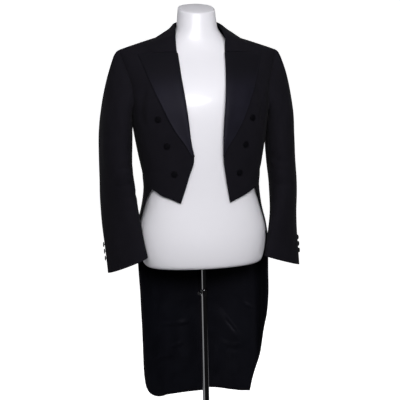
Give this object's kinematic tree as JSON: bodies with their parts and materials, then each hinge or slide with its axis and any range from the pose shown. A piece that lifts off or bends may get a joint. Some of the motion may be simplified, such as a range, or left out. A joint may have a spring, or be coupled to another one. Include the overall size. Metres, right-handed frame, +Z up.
{
  "type": "evening tailcoat on a dress form",
  "caption": "Black evening tailcoat with satin peak lapels, worn open on a white limbless dress form that slides and turns on a chromed pole stand.",
  "frame": {"origin": "on the floor under the pole's axis, in the middle of the base plate's underside", "axes": "+Z up, -Y to the coat's front, +X to the wearer's left"},
  "size_m": [0.5834, 0.36, 1.6362],
  "materials": {
    "wool": "black wool barathea, matt",
    "satin": "black silk satin with a blue-violet sheen",
    "lining": "black satin lining, creased",
    "button": "covered in black cloth",
    "form": "white gloss shell",
    "steel": "polished chrome"
  },
  "bodies": {
    "stand": {"stand_base": "steel", "lower_tube": "steel", "clamp_collar": "steel"},
    "screw": {"thumb_screw": "steel"},
    "mast": {"upper_tube": "steel"},
    "figure": {"forepart_left": "wool", "side_body_left": "wool", "back_left": "wool", "skirt_left": "wool", "under_sleeve_left": "wool", "top_sleeve_left": "wool", "tail_lining_left": "lining", "lapel_left": "satin", "forepart_right": "wool", "side_body_right": "wool", "back_right": "wool", "skirt_right": "wool", "under_sleeve_right": "wool", "top_sleeve_right": "wool", "tail_lining_right": "lining", "lapel_right": "satin", "collar_leaf": "wool", "collar_stand": "wool", "front_button_left_1": "button", "front_button_left_2": "button", "front_button_left_3": "button", "cuff_button_left_1": "button", "cuff_button_left_2": "button", "cuff_button_left_3": "button", "back_button_left": "button", "front_button_right_1": "button", "front_button_right_2": "button", "front_button_right_3": "button", "cuff_button_right_1": "button", "cuff_button_right_2": "button", "cuff_button_right_3": "button", "back_button_right": "button", "dress_form": "form"}
  },
  "joints": [
    {"name": "height", "type": "slide", "parent": "stand", "child": "mast", "axis": [0, 0, 1], "range_m": [-0.06, 0.25]},
    {"name": "form_turn", "type": "hinge", "parent": "mast", "child": "figure", "pos_m": [0, 0, 0.9], "axis": [0, 0, 1], "continuous": true},
    {"name": "screw_turn", "type": "hinge", "parent": "stand", "child": "screw", "pos_m": [-0.01073, -0.00751, 0.8], "axis": [-0.8192, -0.5736, 0], "continuous": true}
  ]
}
